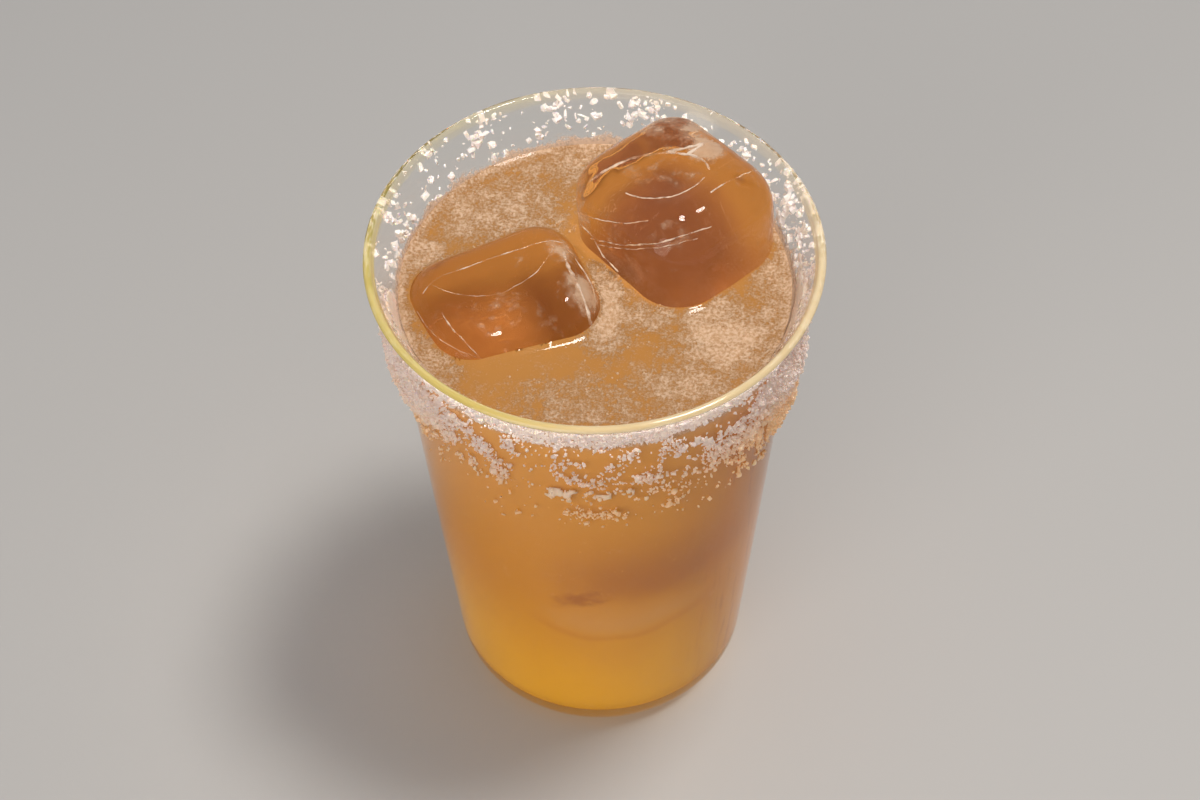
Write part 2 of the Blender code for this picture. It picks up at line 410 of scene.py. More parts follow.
# %% [markdown]
# Clear glass is a Principled shader with full transmission. Light that passes through it would be lost
# in shadow rays, so the glass casts no shadow of its own and the drink inside stays bright. On the real
# tumbler the lip and the heel glow, because light runs along inside the wall and comes out there. The
# render can't follow that light for long, so a second shader paints that glow over those two places.

# %% Glass finish
GLASS_TINT = (0.99, 0.985, 0.97, 1)
LIP_GLOW_GOLD = (0.84, 0.62, 0.30, 1)
LIP_GLOW_PALE = (0.92, 0.78, 0.50, 1)
LIP_GLOW_GREEN = (0.74, 0.60, 0.17, 1)
HEEL_GLOW_AMBER = (0.60, 0.29, 0.025, 1)
HEEL_LIGHT = (0.26, 0.125, 0.010, 1)
NO_LIGHT = (0, 0, 0, 1)


def clear_glass():
    """Clear glass, with a painted yellow-green glow on its lip and a painted amber glow on its heel."""
    glass = Recipe("clear_glass", {"Transmission Weight": 1.0, "IOR": 1.36, "Base Color": GLASS_TINT})
    height = glass.axis("Z")
    lip = glass.ramp(height, GLASS_HEIGHT - 1.9 * MM, GLASS_HEIGHT - 1.1 * MM)
    # Painted glow: stronger on the front of the lip, greener on its left, and amber at the heel.
    front = glass.ramp(glass.axis("Y"), 26 * MM, -6 * MM)
    left = glass.ramp(glass.axis("X"), 4 * MM, -24 * MM)
    heel_glow = glass.ramp(height, 6.0 * MM, 2.5 * MM)
    cover = lip * (front * 0.62 + 0.16) + heel_glow * 0.9
    glow = glass.over(cover, {"Roughness": 0.12, "Coat Weight": 0.5, "Emission Strength": 1.0})
    glass.feed(glow.inputs["Emission Color"], glass.blend(heel_glow, NO_LIGHT, HEEL_LIGHT))
    lip_glow_colour = glass.blend(glass.noise(5 * MM), LIP_GLOW_GOLD, LIP_GLOW_PALE)
    lip_glow_colour = glass.blend(left, lip_glow_colour, LIP_GLOW_GREEN)
    glass.feed(glow.inputs["Base Color"], glass.blend(heel_glow, lip_glow_colour, HEEL_GLOW_AMBER))
    return glass.finish(roughness=glass.ramp(glass.noise(9 * MM), 0.5, 0.9) * 0.05)


tumbler.data.materials.append(clear_glass())
tumbler.visible_shadow = False
print("glass nodes", len(tumbler.data.materials[0].node_tree.nodes))

# %% [markdown]
# ## The ice
#
# Large mould ice melts to a box with very round edges and a hollow in its top. The box is a cube's grid
# whose points are pushed out from a smaller core, which gives even rounding, and noise then melts it.
# A pocket of the same shape, slightly smaller, is cut from the drink, so the ice sits in it with no
# film of air between them.

# %% Ice sizes
ICE_STEPS = 36
ICE_CUBES = {
    "ice_cube_right": {
        "size": Vector((30.8, 33.7, 27.4)) * MM,
        "rounding": 9.2 * MM,
        "middle": Vector((15.7, 12.9, 115.88)) * MM,
        "turn": (-3.4, -1.1, 39.2),
        "dimple": Vector((-1.5, 0.5)) * MM,
        "dimple_radius": 9.4 * MM,
        "dimple_depth": 1.5 * MM,
    },
    "ice_cube_left": {
        "size": Vector((34.9, 27.9, 31.4)) * MM,
        "rounding": 8.8 * MM,
        "middle": Vector((-16.9, -1.7, 101.0)) * MM,
        "turn": (9.5, -7.6, 20.1),
        "dimple": Vector((1.0, 1.5)) * MM,
        "dimple_radius": 12.5 * MM,
        "dimple_depth": 2.0 * MM,
    },
}
for name, cube in ICE_CUBES.items():
    print(name, [round(side / MM, 1) for side in cube["size"]], "mm")


# %% Ice shape
def ice_place(cube):
    turn = Euler([math.radians(a) for a in cube["turn"]]).to_matrix().to_4x4()
    return Matrix.Translation(cube["middle"]) @ turn


def rounded_box_point(point, half, rounding):
    """Moves a point of the cube from -1 to 1 onto a box with rounded edges, and gives its normal too."""
    at = Vector(point[i] * half[i] for i in range(3))
    inner = Vector(max(-(half[i] - rounding), min(half[i] - rounding, at[i])) for i in range(3))
    normal = (at - inner).normalized()
    return inner + normal * rounding, normal


def melt(at, cube):
    """How far melting moves the surface there: broad hollows and fine ripples."""
    broad = 0.35 * noise.noise(at / (14 * MM) + cube["middle"] / (14 * MM))
    fine = 0.10 * noise.noise(at / (4.5 * MM))
    return (broad + fine) * MM


def ice_shape(name, grow):
    """A melted cube, or with grow other than zero a larger or smaller one of the same form."""
    cube = ICE_CUBES[name]
    half = cube["size"] / 2 + Vector((grow, grow, grow))
    bm = bmesh.new()
    bmesh.ops.create_cube(bm, size=2)
    bmesh.ops.subdivide_edges(bm, edges=bm.edges[:], cuts=ICE_STEPS - 1, use_grid_fill=True)
    for vert in bm.verts:
        at, normal = rounded_box_point(vert.co, half, cube["rounding"] + grow)
        away = (at.xy - cube["dimple"]).length / cube["dimple_radius"]
        bowl = cube["dimple_depth"] * max(0.0, 1 - away**2) * max(0.0, normal.z) ** 2
        vert.co = at + normal * melt(at, cube) - Vector((0, 0, bowl))
    mesh = mesh_from(name, bm)
    mesh.transform(ice_place(cube))
    mesh.shade_smooth()
    return mesh


# %% [markdown]
# The cubes are wet and nearly clear, and take the amber of the drink that they float in. Where tiny
# bubbles froze in, the ice is milky, and on the front of the right cube the same milk is a painted
# sheen. A volume of bubbles would be slow, so a second, opaque shader is mixed in where an attribute on
# the mesh says how milky it is, broken up by noise into wisps.

# %% Ice finish
ICE_ABOVE = (0.94, 0.84, 0.70, 1)
ICE_SUNK = (0.88, 0.72, 0.53, 1)
MILK_AND_SHEEN_DARK = (0.50, 0.29, 0.15, 1)
MILK_AND_SHEEN_LIGHT = (0.80, 0.60, 0.44, 1)


def clear_ice():
    """Wet ice, nearly clear, with a milky haze and a painted sheen where the attribute puts them."""
    ice = Recipe("clear_ice", {"Transmission Weight": 1.0, "IOR": 1.31})
    sunk = ice.ramp(ice.axis("Z"), 128 * MM, 108 * MM)
    ice.bump(ice.noise(5 * MM, detail=1.0), 0.35 * MM)
    wisps = ice.noise(2.2 * MM, detail=5.0, roughness=0.65)
    threads = ice.noise(4 * MM, detail=4.0, place=ice.stretched((0.35, 1, 1)))
    milky = ice.attribute("haze") * 1.4 + (wisps - 0.5) * 1.3 + (threads - 0.5) * 0.8
    cover = ice.ramp(milky, 0.30, 0.95) * 0.72
    milk = ice.over(cover, {"Roughness": 0.25, "Coat Weight": 0.6})
    ice.feed(milk.inputs["Base Color"], ice.blend(wisps, MILK_AND_SHEEN_DARK, MILK_AND_SHEEN_LIGHT))
    return ice.finish(base_color=ice.blend(sunk, ICE_ABOVE, ICE_SUNK), roughness=cover * 0.15)


# %% Milky places, and a painted sheen
LEAST_HAZE = 0.06

# x, y, z and reach in mm, and how milky
HAZE_AND_SHEEN = {
    "ice_cube_right": [
        (22, 18, 129, 4, 0.9),
        (12, 27, 125, 7, 0.6),
        (20, 24, 127, 5, 0.6),
        (-3, 12, 119, 6, 0.5),
        # A painted sheen on the front of the right cube
        (3, 3, 122, 5, 0.35),
        (15, -3, 126, 7, 0.30),
        (30, 12, 126, 7, 0.35),
        (14, 12, 128, 9, 0.28),
    ],
    "ice_cube_left": [
        (-17, -9, 113, 9, 0.26),
        (-9, -12, 113, 6, 0.24),
        (-29, -9, 113, 6, 0.2),
        (-2, -5, 115, 5, 0.75),
        (-6, 4, 117, 4, 0.5),
        (-12, 4, 118, 6, 0.2),
    ],
}


def note_haze(mesh, places):
    """Writes on every point how milky the ice is there."""
    values = []
    for vert in mesh.vertices:
        haze = LEAST_HAZE
        for x, y, z, reach, amount in places:
            away = (vert.co / MM - Vector((x, y, z))).length / reach
            haze = max(haze, amount * math.exp(-(away**2)))
        values.append(haze)
    note(mesh, "haze", values)


ice_finish = clear_ice()
ice_pieces = {}
for name in ICE_CUBES:
    piece = new_object("melted_" + name, ice_shape(name, 0.0))
    note_haze(piece.data, HAZE_AND_SHEEN[name])
    piece.data.materials.append(ice_finish)
    piece.visible_shadow = False
    ice_pieces[name] = piece
print("ice", [len(piece.data.polygons) for piece in ice_pieces.values()])

# %% [markdown]
# ## The drink
#
# The drink is cloudy, so it is an opaque body with light scattering just under its skin, not clear
# liquid. Its side reaches a little into the glass's wall, so that no air shows between them. Its
# surface is a fine grid: it climbs the wall and the ice as a wet edge does, and carries an
# attribute that says how much froth lies there.

# %% Sizes of the drink, and its froth
INTO_WALL = 0.3 * MM
MENISCUS_RISE = 0.9 * MM
MENISCUS_REACH = 1.1 * MM
CLEAR_REACH = 0.6 * MM
DRINK_SIDES = 220
SURFACE_RINGS = 48
BODY_RINGS = 16
FLOOR_HEEL_STEPS = 8
POCKET_GAP = -0.15 * MM
SHARP_EDGE = math.radians(50)

# Froth on the surface: middle x and y, spread x and y, all in mm, and how thick it lies
FROTH = {
    "back left": (-20, 21, 15, 10, 0.85),
    "far left": (-33, 9, 5, 8, 0.9),
    "back": (-2, 33, 14, 6, 0.8),
    "between the cubes": (1.5, -6, 4, 10, 1.45),
    "front of the right cube": (9, -8, 7, 3.5, 1.0),
    "right front": (25, -13, 11, 9, 1.15),
    "right": (35, 2, 5, 14, 0.9),
    "front": (2, -29, 24, 8, 0.62),
    "centre": (4, -17, 15, 8, 0.28),
    "left edge": (-33, -6, 5, 10, 0.6),
    "front right": (17, -24, 9, 6, 0.85),
    "left front": (-30, -16, 5, 10, 0.9),
}


def froth_amount(x, y):
    """How much froth lies at a place on the surface, in metres from the axis."""
    thickest = 0.0
    for middle_x, middle_y, spread_x, spread_y, amount in FROTH.values():
        away = ((x / MM - middle_x) / spread_x) ** 2 + ((y / MM - middle_y) / spread_y) ** 2
        thickest = max(thickest, amount * math.exp(-0.7 * away))
    edge = inner_radius(DRINK_LEVEL) - math.hypot(x, y)
    ring = 0.95 * math.exp(-((edge / (2.2 * MM)) ** 2))
    return max(thickest, ring)


print("froth between the cubes", round(froth_amount(1.5 * MM, -6 * MM), 2))


# %% Drink shape
def drink_profile():
    """Half of a section through the drink, from the middle of its surface to the middle of its floor."""
    reach = inner_radius(DRINK_LEVEL) + INTO_WALL
    bottom = BASE_THICKNESS - INTO_WALL
    surface = [(reach * (i + 1) / SURFACE_RINGS, DRINK_LEVEL) for i in range(SURFACE_RINGS)]
    body = heights(BASE_THICKNESS + INNER_HEEL_RADIUS, DRINK_LEVEL - 2 * MM, BODY_RINGS)
    side = [(inner_radius(z) + INTO_WALL, z) for z in reversed(body)]
    rounding = INNER_HEEL_RADIUS + INTO_WALL
    corner = heel(lambda z: inner_radius(z) + INTO_WALL, bottom, rounding, FLOOR_HEEL_STEPS)
    return [(0.0, DRINK_LEVEL)] + surface + side + corner[1:] + [(0.0, bottom)]


def outside_ice(name, point):
    """Distance from a place to the outside of an ice cube, before its melting."""
    cube = ICE_CUBES[name]
    local = ice_place(cube).inverted() @ point
    core = cube["size"] / 2 - Vector((1, 1, 1)) * cube["rounding"]
    beyond = Vector(max(abs(local[i]) - core[i], 0.0) for i in range(3))
    return beyond.length - cube["rounding"]


def cut_pockets(obj):
    """Cuts the place of each ice cube out of the drink."""
    for name in ICE_CUBES:
        cutter = new_object("pocket", ice_shape(name, POCKET_GAP))
        cut = obj.modifiers.new("pocket", "BOOLEAN")
        cut.operation = "DIFFERENCE"
        cut.solver = "MANIFOLD"
        cut.object = cutter
        graph = bpy.context.evaluated_depsgraph_get()
        mesh = bpy.data.meshes.new_from_object(obj.evaluated_get(graph))
        obj.modifiers.clear()
        obj.data = mesh
        bpy.data.objects.remove(cutter)


# %% Wet edges
NEARLY = 0.01 * MM
POCKET_SKIN = 0.6 * MM
OFF_THE_WALL = 0.5 * MM


def wet_edges(obj):
    """Lifts the surface at the glass and the ice, and notes what is surface, froth and pocket."""
    notes = {"froth": [], "top": [], "pocket": []}
    for vert in obj.data.vertices:
        x, y, z = vert.co
        near = min([outside_ice(name, vert.co) for name in ICE_CUBES])
        wall = max(0.0, inner_radius(min(z, DRINK_LEVEL)) - math.hypot(x, y))
        surface = z > DRINK_LEVEL - NEARLY
        if surface:
            lift = math.exp(-max(0.0, near) / MENISCUS_REACH) + math.exp(-wall / MENISCUS_REACH)
            vert.co.z += MENISCUS_RISE * min(1.0, lift)
        clear = 1 - 0.5 * math.exp(-((max(0.0, near) / CLEAR_REACH) ** 2))
        notes["froth"].append(froth_amount(x, y) * clear if surface else 0.0)
        notes["top"].append(1.0 if surface else 0.0)
        in_pocket = near < POCKET_SKIN and not surface and wall > OFF_THE_WALL
        notes["pocket"].append(1.0 if in_pocket else 0.0)
    for name, values in notes.items():
        note(obj.data, name, values)


drink_body = turned("drink_body", drink_profile(), DRINK_SIDES)
drink_body.data.flip_normals()
cut_pockets(drink_body)
wet_edges(drink_body)
drink_body.data.shade_smooth()
drink_body.data.set_sharp_from_angle(angle=SHARP_EDGE)
print("drink", len(drink_body.data.polygons), "faces")


# %% [markdown]
# Through the real glass the drink is golden low down, where light comes in from under it, and browner
# above, with a dusky place where ice is sunk in it. A photograph wrapped round it would only suit one
# side, so its colour is worked out from height and from left to right, with cloudy noise, and every
# blend below lays one colour over the last. A little emission stands in for the light inside it.

# %% Colours of the drink
DEEP_GOLD = (0.60, 0.295, 0.016, 1)
AMBER = (0.47, 0.195, 0.020, 1)
DUSK = (0.34, 0.120, 0.024, 1)
HONEY = (0.50, 0.225, 0.042, 1)
ORANGE = (0.50, 0.165, 0.008, 1)
DARK_STREAK = (0.30, 0.085, 0.008, 1)
SUNK_ICE = (0.50, 0.25, 0.085, 1)
SUNK_EDGE_SHADE = (0.40, 0.13, 0.02, 1)
DARK_REFRACTION = (0.24, 0.065, 0.020, 1)
PULP = (0.72, 0.42, 0.12, 1)
SURFACE = (0.46, 0.205, 0.050, 1)
FROTH_DARK = (0.57, 0.335, 0.185, 1)
FROTH_PALE = (0.80, 0.575, 0.405, 1)
LEFT_POCKET = [(0.31, 0.124, 0.031, 1), (0.34, 0.155, 0.036, 1)]
RIGHT_POCKET = [(0.165, 0.056, 0.022, 1), (0.23, 0.093, 0.025, 1)]
BODY_GLOW = (0.22, 0.20, 0.15, 1)
FLANK_GLOW = (0.42, 0.38, 0.20, 1)
RIGHT_POCKET_GLOW = (1.35, 1.40, 1.05, 1)
RIGHT_EDGE_GLOW = (1.30, 1.40, 1.10, 1)


# %% The side of the drink
def side_colour(drink, height, across, cloud):
    """Golden low down, honey above, and dusky between them on the right."""
    low = drink.ramp(height + cloud * (16 * MM), 14 * MM, 56 * MM)
    high = drink.ramp(height + cloud * (20 * MM), 58 * MM, 104 * MM)
    dusk = drink.ramp(height + cloud * (12 * MM), 48 * MM, 58 * MM) * drink.ramp(height, 84 * MM, 60 * MM)
    dusk = dusk * drink.ramp(across + cloud * (30 * MM), -18 * MM, 6 * MM)
    dusk = dusk * drink.ramp(across, 36 * MM, 22 * MM)
    amber = drink.blend(dusk * 0.85, drink.blend(low, DEEP_GOLD, AMBER), DUSK)
    return drink.blend(high, amber, HONEY)


def sunk_ice(drink, amber, height, across, cloud):
    """The ice behind the front wall: a paler patch, with painted shade along its lower edge and a patch of painted
    dark refraction in it.
    """
    wide = (across - 4 * MM) * (1 / (17 * MM))
    tall = (height + cloud * (6 * MM) - 47 * MM) * (1 / (8 * MM))
    away = wide * wide + tall * tall
    front = drink.ramp(drink.axis("Y"), -15 * MM, -25 * MM)
    patch = drink.ramp(away, 1.1, 0.2) * drink.ramp(tall, 1.1, -0.5) * front
    amber = drink.blend(patch * 0.45, amber, SUNK_ICE)
    # Painted shade along the lower edge of the sunk ice.
    rim = drink.ramp(drink.maths("ABSOLUTE", away - 1.05), 0.42, 0.0)
    amber = drink.blend(rim * drink.ramp(tall, 0.0, -0.8) * front * 0.3, amber, SUNK_EDGE_SHADE)
    # A ragged patch of painted dark refraction.
    aside = (across + 4 * MM) * (1 / (6 * MM))
    up = (height + cloud * (8 * MM) - across * 0.25 - 54.5 * MM) * (1 / (3.4 * MM))
    ragged = aside * aside + up * up + (drink.noise(3 * MM) - 0.5) * 3.0
    return drink.blend(drink.ramp(ragged, 1.3, -0.3) * front * 0.6, amber, DARK_REFRACTION)


def streaks_and_pulp(drink, amber, height, across):
    """Orange and streaky towards the right, with pale specks of pulp in the upper half."""
    shaken = drink.noise(5 * MM, place=drink.stretched((1, 1, 0.08))) - 0.5
    right = drink.ramp(across + shaken * (16 * MM), 12 * MM, 36 * MM)
    amber = drink.blend(right * 0.75, amber, ORANGE)
    lines = drink.noise(1.3 * MM, place=drink.stretched((1, 1, 0.07)))
    amber = drink.blend(drink.ramp(lines, 0.56, 0.66) * right * 0.35, amber, DARK_STREAK)
    specks = drink.ramp(drink.noise(0.8 * MM, detail=2.0), 0.66, 0.76)
    return drink.blend(specks * drink.ramp(height, 40 * MM, 70 * MM) * 0.30, amber, PULP)


# %% [markdown]
# Froth is a crowd of tiny bubbles, which look like pale flecks on the surface from a step away. They
# come from three noises of different size, added to the attribute that says how thick it lies. Where
# the drink meets the ice, its skin is seen through the ice, so it has colours of its own: darker
# below, where little light gets in, and glowing near the surface.

# %% The froth and the places behind the ice
def froth_cover(drink, flecks):
    froth = drink.attribute("froth")
    clumps = drink.noise(3.4 * MM)
    wisps = drink.noise(0.35 * MM, detail=3.0)
    thick = froth + (clumps - 0.5) * 1.5 + (flecks - 0.5) * 1.3 + (wisps - 0.5) * 1.2
    return drink.ramp(thick, 0.18, 1.05) * (drink.ramp(froth, 0.0, 0.5) * 0.7 + 0.25)


def pocket_colour(drink, height, on_right):
    left = drink.blend(drink.ramp(height, 86 * MM, 95 * MM), *LEFT_POCKET)
    right = drink.blend(drink.ramp(height, 101 * MM, 108 * MM), *RIGHT_POCKET)
    return drink.blend(on_right, left, right)


def pocket_glow(drink, height, across, on_right):
    left = drink.blend(drink.ramp(height, 86 * MM, 99 * MM), grey(0.28), grey(0.92))
    right = drink.blend(drink.ramp(height, 101 * MM, 109 * MM), grey(0.10), RIGHT_POCKET_GLOW)
    right = drink.blend(drink.ramp(across, 13 * MM, 29 * MM) * 0.8, right, RIGHT_EDGE_GLOW)
    return drink.blend(on_right, left, right)


# %% Drink finish
def amber_drink():
    """The side, the pockets and the surface, each laid over the last, with froth on top."""
    constants = {"Specular IOR Level": 0.0, "Coat IOR": 1.34, "Coat Roughness": 0.04}
    drink = Recipe("amber_drink", {**constants, "Emission Strength": 1.0})
    height = drink.axis("Z")
    across = drink.axis("X")
    cloud = drink.noise(20 * MM) - 0.5
    top = drink.attribute("top")
    pocket = drink.attribute("pocket")
    on_right = drink.ramp(across, -3 * MM, 3 * MM)
    amber = side_colour(drink, height, across, cloud)
    amber = streaks_and_pulp(drink, sunk_ice(drink, amber, height, across, cloud), height, across)
    amber = drink.blend(top, amber, SURFACE)
    amber = drink.blend(pocket, amber, pocket_colour(drink, height, on_right))

    flecks = drink.noise(0.6 * MM, detail=4.0, roughness=0.65)
    cover = froth_cover(drink, flecks)
    froth_colour = drink.blend(drink.ramp(flecks, 0.35, 0.65), FROTH_DARK, FROTH_PALE)
    drink.bump(cover * flecks, 0.5 * MM)

    flank = drink.ramp(drink.maths("ABSOLUTE", across), 22 * MM, 33 * MM)
    glow = drink.blend(flank * drink.ramp(height, 76 * MM, 40 * MM), BODY_GLOW, FLANK_GLOW)
    glow = drink.blend(pocket, glow, pocket_glow(drink, height, across, on_right))
    glow = drink.blend(top, glow, grey(0.05))
    return drink.finish(
        base_color=drink.blend(cover, amber, froth_colour),
        roughness=cover * 0.4 + 0.2,
        coat_weight=top * (1 - cover * 0.8),
        emission_color=drink.tinted(amber, glow),
    )


drink_body.data.materials.clear()
drink_body.data.materials.append(amber_drink())
print("drink nodes", len(drink_body.data.materials[0].node_tree.nodes))

# %% [markdown]
# ## The salt
#
# The rim was dipped, so damp salt clings outside the wall: thick at the right and left, a band under the
# front of the lip, and thinner patches below it. The thick part is a lumpy bed that swells out of
# the wall. Geometry Nodes then scatter crystals over the bed and the bare wall, by an attribute that
# holds how densely they lie.

# %% Where the salt lies
# Swellings of the crust: azimuth and its spread in degrees, height and its spread, and thickness in mm
CRUST_PATCHES = {
    "right": (346, 24, 100, 16, 2.8),
    "left": (198, 19, 102, 14, 2.3),
}

# Lumps of the crust: their size, and how far each kind moves its surface in mm
CRUST_RELIEF = {3.6 * MM: 1.0, 1.2 * MM: 0.75, 8 * MM: 1.6}

# Grains: azimuth and its spread in degrees, height and its spread in mm, and how densely they lie
GRAIN_PATCHES = {
    "right crust": (344, 28, 102, 18, 1.5),
    "right tail": (349, 9, 86, 7, 0.8),
    "left crust": (201, 22, 104, 14, 1.4),
    "left foot": (192, 10, 91, 8, 0.8),
    "band": (270, 62, 115, 4.8, 1.5),
    "first drip": (245, 3, 107, 5, 1.1),
    "second drip": (258, 2.5, 103, 5, 0.9),
    "third drip": (278, 5, 107, 4, 0.9),
    "fourth drip": (291, 6, 106, 4, 1.1),
    "left mass": (219, 12, 102, 8, 1.5),
    "slant top": (229, 7, 105, 3.5, 1.3),
    "slant middle": (235, 6, 102, 3.5, 1.35),
    "slant foot": (241, 5, 100, 3, 1.3),
    "flap": (241, 4, 96, 4.5, 1.5),
    "middle flecks": (268, 20, 101, 8, 0.56),
    "right flecks": (290, 12, 97, 8, 0.66),
    "low flecks": (285, 25, 92, 6, 0.36),
    "low front": (270, 9, 87, 2.6, 0.95),
    "right top": (300, 9, 101, 2.8, 1.15),
    "right middle": (312, 13, 97, 5.5, 1.35),
    "right foot": (321, 8, 93, 5.5, 1.3),
    "right drip": (319, 4, 85, 2.5, 0.7),
}
LEAST_DENSITY = 0.10

# Single grains below the crust in front: how densely, where round the glass in degrees, and how low
STRAYS = 0.035
STRAY_MIDDLE = 280
STRAY_SPREAD = 75
STRAY_HEIGHT = 82 * MM
print(len(GRAIN_PATCHES), "patches of grains")


# %% Thickness and density at a place
def on_wall(azimuth, z, out=0.0):
    """The place on the outside of the glass at an azimuth in degrees, moved out from it."""
    around = math.radians(azimuth)
    radius = outer_radius(z) + out
    return Vector((radius * math.cos(around), radius * math.sin(around), z))


def turn_from(middle, azimuth):
    """The angle from one azimuth to another, from -180 to 180 degrees."""
    return (azimuth - middle + 180) % 360 - 180


def patches_from(patches, azimuth, z):
    """For each patch, how far off its middle is, squared and in spreads, and the patch's amount."""
    for middle, spread, height, rise, amount in patches.values():
        yield (turn_from(middle, azimuth) / spread) ** 2 + ((z / MM - height) / rise) ** 2, amount


def crust_thickness(azimuth, z):
    """How far the crust stands out of the wall, in metres; below zero there is none."""
    swell = max(amount * (1 - away) for away, amount in patches_from(CRUST_PATCHES, azimuth, z))
    swell = max(swell, -1.0)
    at = on_wall(azimuth, z)
    relief = sum(height * noise.noise(at / size) for size, height in CRUST_RELIEF.items())
    return (swell + relief) * MM


def grain_density(azimuth, z):
    """From 0 to 1: the patches, with lacy edges and holes cut by noise."""
    density = max(amount * math.exp(-away) for away, amount in patches_from(GRAIN_PATCHES, azimuth, z))
    at = on_wall(azimuth, z)
    lace = 0.55 * noise.noise(at / (4 * MM)) + 0.50 * noise.noise(at / (1.6 * MM))
    stray = STRAYS if abs(turn_from(STRAY_MIDDLE, azimuth)) < STRAY_SPREAD and z > STRAY_HEIGHT else 0.0
    if density <= LEAST_DENSITY:
        return stray * 0.4
    return max(stray, min(1.0, (density - 0.45 + lace * 1.1) * 1.7))


print("crust at its middle", round(crust_thickness(346, 100 * MM) / MM, 2), "mm")


# %% [markdown]
# The thick crust is one lumpy skin on the wall. Where the swelling is above zero its faces are kept.
# A copy of them, turned round, lies just behind the wall's surface, and a strip joins the two along
# the ragged edge, so that the bed is closed.

# %% Salt bed
SALT_ARC = (162, 386)
BED_HEIGHTS = (80 * MM, 117.5 * MM)
BED_COLUMNS = 374
BED_ROWS = 80
THINNEST = 0.02 * MM
UNDER_RIM = 0.2 * MM
BEHIND = -0.03 * MM


def swollen_faces(bm):
    """The faces of the wall's grid where the crust stands out of it."""
    azimuths = heights(*SALT_ARC, BED_COLUMNS)
    levels = heights(*BED_HEIGHTS, BED_ROWS)
    thickness = [[crust_thickness(a, z) for z in levels] for a in azimuths]
    grid = []
    for i, azimuth in enumerate(azimuths):
        column = []
        for j, z in enumerate(levels):
            out = min(max(thickness[i][j], THINNEST), RIM_RADIUS - UNDER_RIM - outer_radius(z))
            column.append(bm.verts.new(on_wall(azimuth, z, out)))
        grid.append(column)
    faces = []
    for i in range(BED_COLUMNS - 1):
        for j in range(BED_ROWS - 1):
            corners = [(i, j), (i + 1, j), (i + 1, j + 1), (i, j + 1)]
            if min(thickness[a][b] for a, b in corners) > 0:
                faces.append(bm.faces.new([grid[a][b] for a, b in corners]))
    bmesh.ops.delete(bm, geom=[v for v in bm.verts if not v.link_faces], context="VERTS")
    return faces


def salt_bed():
    """The swellings as one closed skin: the faces that stand out of the wall, backed on the wall."""
    bm = bmesh.new()
    front = swollen_faces(bm)
    back = bmesh.ops.duplicate(bm, geom=bm.verts[:] + bm.edges[:] + bm.faces[:])
    twin = back["vert_map"]
    for vert in [item for item in back["geom"] if isinstance(item, bmesh.types.BMVert)]:
        azimuth = math.degrees(math.atan2(vert.co.y, vert.co.x))
        vert.co = on_wall(azimuth, vert.co.z, BEHIND)
    backs = [item for item in back["geom"] if isinstance(item, bmesh.types.BMFace)]
    bmesh.ops.reverse_faces(bm, faces=backs)
    rim = [edge for face in front for edge in face.edges if len(edge.link_faces) == 1]
    for edge in rim:
        loop = edge.link_loops[0]
        a, b = loop.vert, loop.link_loop_next.vert
        bm.faces.new((b, a, twin[a], twin[b]))
    mesh = mesh_from("salt_bed", bm)
    mesh.shade_smooth()
    return new_object("salt_bed", mesh)


bed = salt_bed()
print("salt bed", len(bed.data.polygons), "faces")


# %% [markdown]
# Damp salt is partly clear, so that it takes the colour of the drink behind it, most of all low down
# where it is wettest. Transmission lets that colour through, subsurface scattering softens the light in
# each grain, and a fine bump breaks up its faces. The bed, the grains and the dry flakes at the back
# share one function, with a colour and a clearness of their own.

# %% Salt finish
SALT_LIGHT = (0.98, 0.90, 0.84, 1)
SALT_WET = (0.87, 0.66, 0.42, 1)
SALT_GLOW = (0.05, 0.032, 0.024, 1)
SALT_WET_GLOW = (0.085, 0.045, 0.016, 1)


def salt_finish(name, tone, clear):
    """Damp salt in one tone, mottled lighter, and wetter low down."""
    salt = Recipe(name, {"IOR": 1.36, "Transmission Weight": clear, "Subsurface Weight": 0.3})
    salt.shader.inputs["Emission Strength"].default_value = 1.0
    salt.shader.inputs["Subsurface Scale"].default_value = 1.5 * MM
    salt.shader.inputs["Subsurface Radius"].default_value = (1.0, 0.6, 0.35)
    damp = salt.noise(2.5 * MM)
    low = salt.ramp(salt.axis("Z"), 104 * MM, 88 * MM)
    colour = salt.blend(low * 0.8, salt.blend(damp, tone, SALT_LIGHT), SALT_WET)
    salt.bump(salt.noise(0.6 * MM, detail=2.0), 0.15 * MM)
    lit = salt.blend(low, SALT_GLOW, SALT_WET_GLOW)
    return salt.finish(base_color=colour, roughness=damp * 0.4 + 0.15, emission_color=lit)


bed.data.materials.append(salt_finish("salt_bed", (0.88, 0.70, 0.58, 1), 0.3))
salt_material = salt_finish("salt", (0.98, 0.86, 0.79, 1), 0.4)
flake_material = salt_finish("salt_flakes", (0.90, 0.84, 0.82, 1), 0.1)
print("salt finishes", bed.data.materials[0].name, salt_material.name, flake_material.name)

# %% [markdown]
# ## Geometry Nodes in a few words
#
# The grains, the bubbles and the veins repeat by the thousand, so trees of Geometry Nodes make them. A
# tree drawn by hand can't be read in a script, so a class holds a tree with named inputs, and adds its
# nodes as the materials do. The steps that the trees share follow: random numbers, smooth shaking,
# points on a surface as dense as an attribute says, and the plain mesh at the end.

# %% A tree and its nodes
# A Random Value node's sockets for least, most and result
RANDOM_SOCKETS = {"FLOAT_VECTOR": (0, 1, 0), "FLOAT": (2, 3, 1), "INT": (4, 5, 2)}
FLOAT = "NodeSocketFloat"
WHOLE = "NodeSocketInt"


